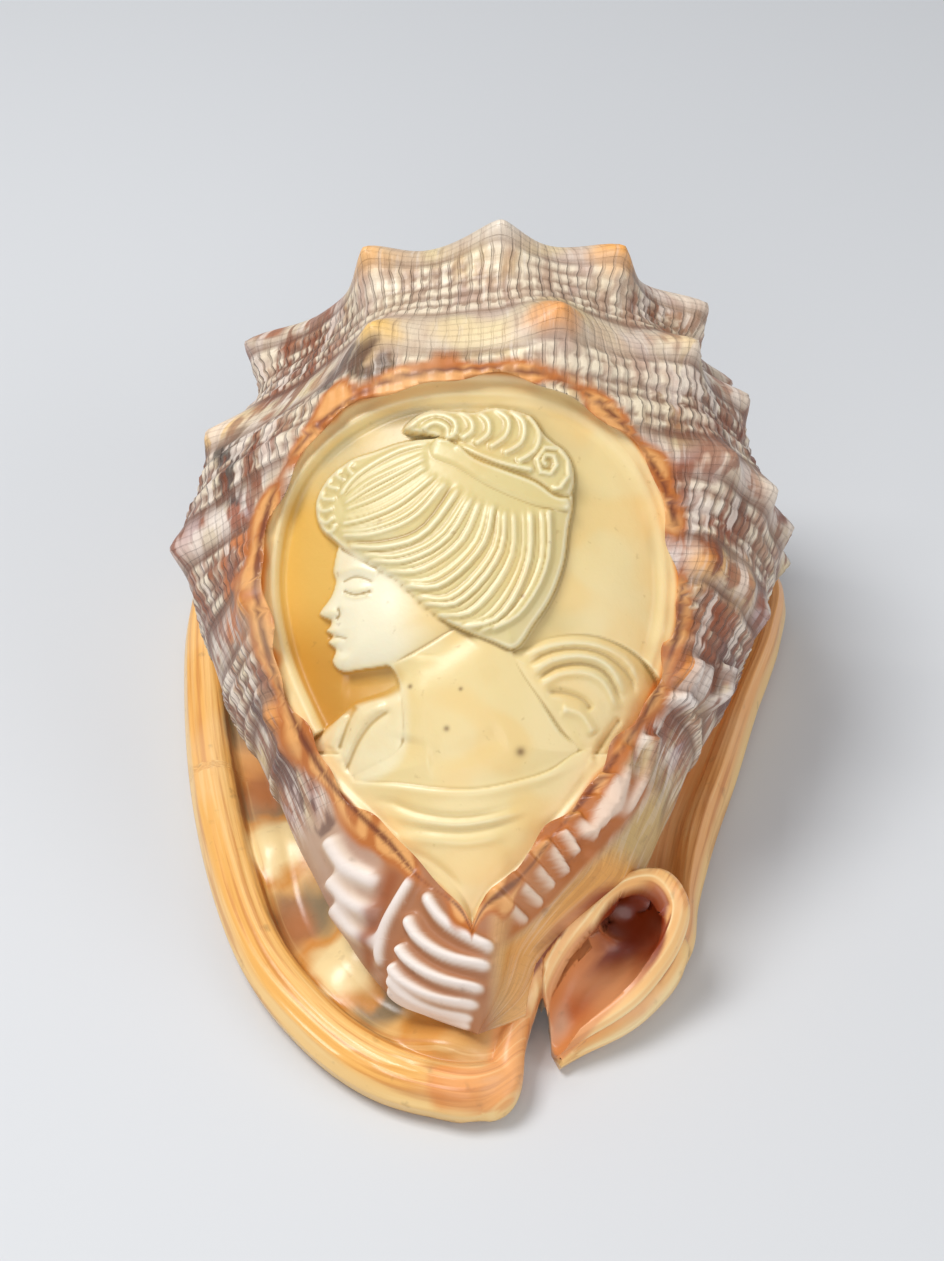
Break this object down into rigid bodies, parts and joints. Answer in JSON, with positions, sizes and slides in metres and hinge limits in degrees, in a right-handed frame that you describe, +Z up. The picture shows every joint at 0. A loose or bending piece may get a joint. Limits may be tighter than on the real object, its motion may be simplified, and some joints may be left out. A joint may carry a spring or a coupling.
{
  "type": "carved helmet shell",
  "caption": "Bullmouth helmet shell lying on its mouth, with knobbed whorl, rolled lip, siphon spout and a cameo bust carved in its back.",
  "frame": {"origin": "centre of the bounding box at the table, under the shell", "axes": "+Z up, +Y towards the spire, +X towards the shield of the inner lip; the outer lip is at -X and the siphon spout at -Y"},
  "size_m": [0.1285, 0.1633, 0.0979],
  "materials": {
    "helmet_shell": "natural shell, worn and carved, satin"
  },
  "bodies": {
    "root": {"helmet_shell": "helmet_shell"}
  },
  "joints": []
}
